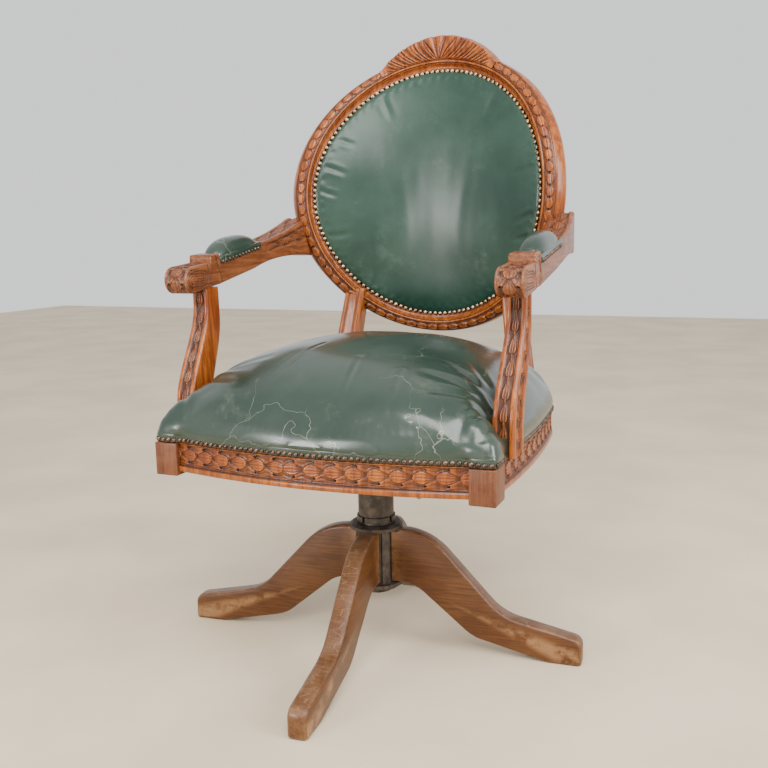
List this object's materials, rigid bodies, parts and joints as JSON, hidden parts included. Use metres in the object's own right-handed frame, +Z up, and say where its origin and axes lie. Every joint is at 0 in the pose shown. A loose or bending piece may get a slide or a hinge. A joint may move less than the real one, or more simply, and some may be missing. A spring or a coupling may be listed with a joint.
{
  "type": "swivel desk armchair",
  "caption": "Round-back upholstered armchair with carved open arms on a screw-height swivel column and ogee timber legs.",
  "frame": {"origin": "on the floor, under the swivel axis", "axes": "+Z up along the swivel axis, the chair faces -Y, +X is the sitter's left"},
  "size_m": [0.708, 0.7405, 1.0754],
  "materials": {
    "carved_wood": "polished, worn, dark in the carving",
    "oak": "old waxed oak, dusty on top",
    "frame_wood": "unpolished frame timber",
    "green_leather": "bottle green hide, worn sheen, creased",
    "jute": "old jute",
    "dark_iron": "dull dark iron",
    "worn_steel": "greased steel",
    "screw_steel": "old steel",
    "bearing_brass": "plain"
  },
  "bodies": {
    "base": {"base_leg_right": "oak", "base_leg_rear": "oak", "base_leg_left": "oak", "base_leg_front": "oak", "hub": "dark_iron", "sole_plate": "dark_iron", "hub_nut": "dark_iron", "upper_bush": "bearing_brass", "lower_bush": "bearing_brass", "leg_screws": "screw_steel"},
    "bearing": {"keyed_washer": "worn_steel"},
    "collar": {"height_collar": "dark_iron"},
    "seat": {"spindle": "worn_steel", "cross_pin": "worn_steel", "shroud_tube": "dark_iron", "seat_iron": "dark_iron", "seat_iron_screws": "screw_steel", "bearer_front": "frame_wood", "bearer_rear": "frame_wood", "front_rail": "carved_wood", "side_rail_right": "carved_wood", "side_rail_left": "carved_wood", "rear_rail": "carved_wood", "front_block_right": "carved_wood", "front_block_left": "carved_wood", "rear_upright_right": "carved_wood", "rear_upright_left": "carved_wood", "corner_brace_front_right": "frame_wood", "corner_brace_front_left": "frame_wood", "webbing": "jute", "torn_webbing": "jute", "seat_springs": "worn_steel", "seat_cushion": "green_leather", "arm_post_right": "carved_wood", "arm_post_left": "carved_wood", "armrest_right": "carved_wood", "armrest_left": "carved_wood", "arm_pad_right": "green_leather", "arm_pad_left": "green_leather", "back_crest_rail": "carved_wood", "back_stile_right": "carved_wood", "back_stile_left": "carved_wood", "back_bottom_rail": "carved_wood", "back_pad_front": "green_leather", "back_panel_rear": "green_leather"}
  },
  "joints": [
    {"name": "swivel", "type": "hinge", "parent": "base", "child": "bearing", "pos_m": [0, 0, 0.215], "axis": [0, 0, 1], "continuous": true},
    {"name": "collar_turn", "type": "hinge", "parent": "bearing", "child": "collar", "pos_m": [0, 0, 0.217], "axis": [0, 0, 1], "range_deg": [0, 3240]},
    {"name": "height", "type": "slide", "parent": "bearing", "child": "seat", "axis": [0, 0, 1], "range_m": [0, 0.054]}
  ],
  "couplings": [
    {"joint": "collar_turn", "follows": "height", "rad_per_m": 1047.2}
  ]
}
